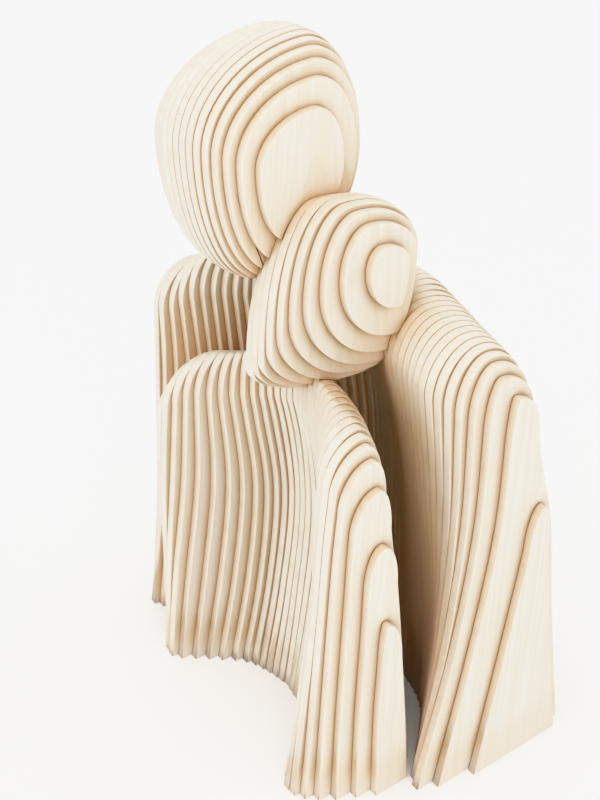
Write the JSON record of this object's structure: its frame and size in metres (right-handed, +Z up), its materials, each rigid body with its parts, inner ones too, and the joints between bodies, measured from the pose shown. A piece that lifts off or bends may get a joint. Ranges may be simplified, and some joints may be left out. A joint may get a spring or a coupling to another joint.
{
  "type": "layered board sculpture of two figures",
  "caption": "Free-standing sculpture of a tall faceless figure sheltering a smaller one, stacked from upright wooden boards with stepped, rounded outlines.",
  "frame": {"origin": "middle of the bounding box in X and Y, on the floor plane that both hems stand on", "axes": "+Z up, -Y towards the open fronts of both figures, X along the stack of boards"},
  "size_m": [0.552, 0.419, 0.901],
  "materials": {
    "pale_board": "fine sanded, clear matt, upright grain",
    "dowel_wood": "plain turned dowel"
  },
  "bodies": {
    "root": {"adult_body_boards_01": "pale_board", "adult_body_boards_02": "pale_board", "adult_body_boards_03": "pale_board", "adult_body_boards_04": "pale_board", "adult_body_boards_05": "pale_board", "adult_body_boards_06": "pale_board", "adult_body_boards_07": "pale_board", "adult_body_boards_08": "pale_board", "adult_body_boards_09": "pale_board", "adult_body_boards_10": "pale_board", "adult_body_boards_11": "pale_board", "adult_body_boards_12": "pale_board", "adult_body_boards_13": "pale_board", "adult_body_boards_14": "pale_board", "adult_body_boards_15": "pale_board", "adult_body_boards_16": "pale_board", "adult_body_boards_17": "pale_board", "adult_body_boards_18": "pale_board", "adult_body_boards_19": "pale_board", "adult_body_boards_20": "pale_board", "adult_body_boards_21": "pale_board", "adult_body_boards_22": "pale_board", "adult_body_boards_23": "pale_board", "child_body_boards_01": "pale_board", "child_body_boards_02": "pale_board", "child_body_boards_03": "pale_board", "child_body_boards_04": "pale_board", "child_body_boards_05": "pale_board", "child_body_boards_06": "pale_board", "child_body_boards_07": "pale_board", "child_body_boards_08": "pale_board", "child_body_boards_09": "pale_board", "child_body_boards_10": "pale_board", "child_body_boards_11": "pale_board", "child_body_boards_12": "pale_board", "child_body_boards_13": "pale_board", "child_body_boards_14": "pale_board", "child_body_boards_15": "pale_board", "child_body_boards_16": "pale_board", "child_body_boards_17": "pale_board", "child_body_boards_18": "pale_board", "child_body_boards_19": "pale_board", "adult_head_boards_01": "pale_board", "adult_head_boards_02": "pale_board", "adult_head_boards_03": "pale_board", "adult_head_boards_04": "pale_board", "adult_head_boards_05": "pale_board", "adult_head_boards_06": "pale_board", "child_head_boards_01": "pale_board", "child_head_boards_02": "pale_board", "child_head_boards_03": "pale_board", "child_head_boards_04": "pale_board", "child_head_boards_05": "pale_board", "adult_back_dowels": "dowel_wood", "adult_arm_dowels": "dowel_wood", "child_body_dowels": "dowel_wood", "adult_head_dowel": "dowel_wood", "child_head_dowel": "dowel_wood", "adult_neck_peg": "dowel_wood", "child_neck_peg": "dowel_wood"}
  },
  "joints": []
}
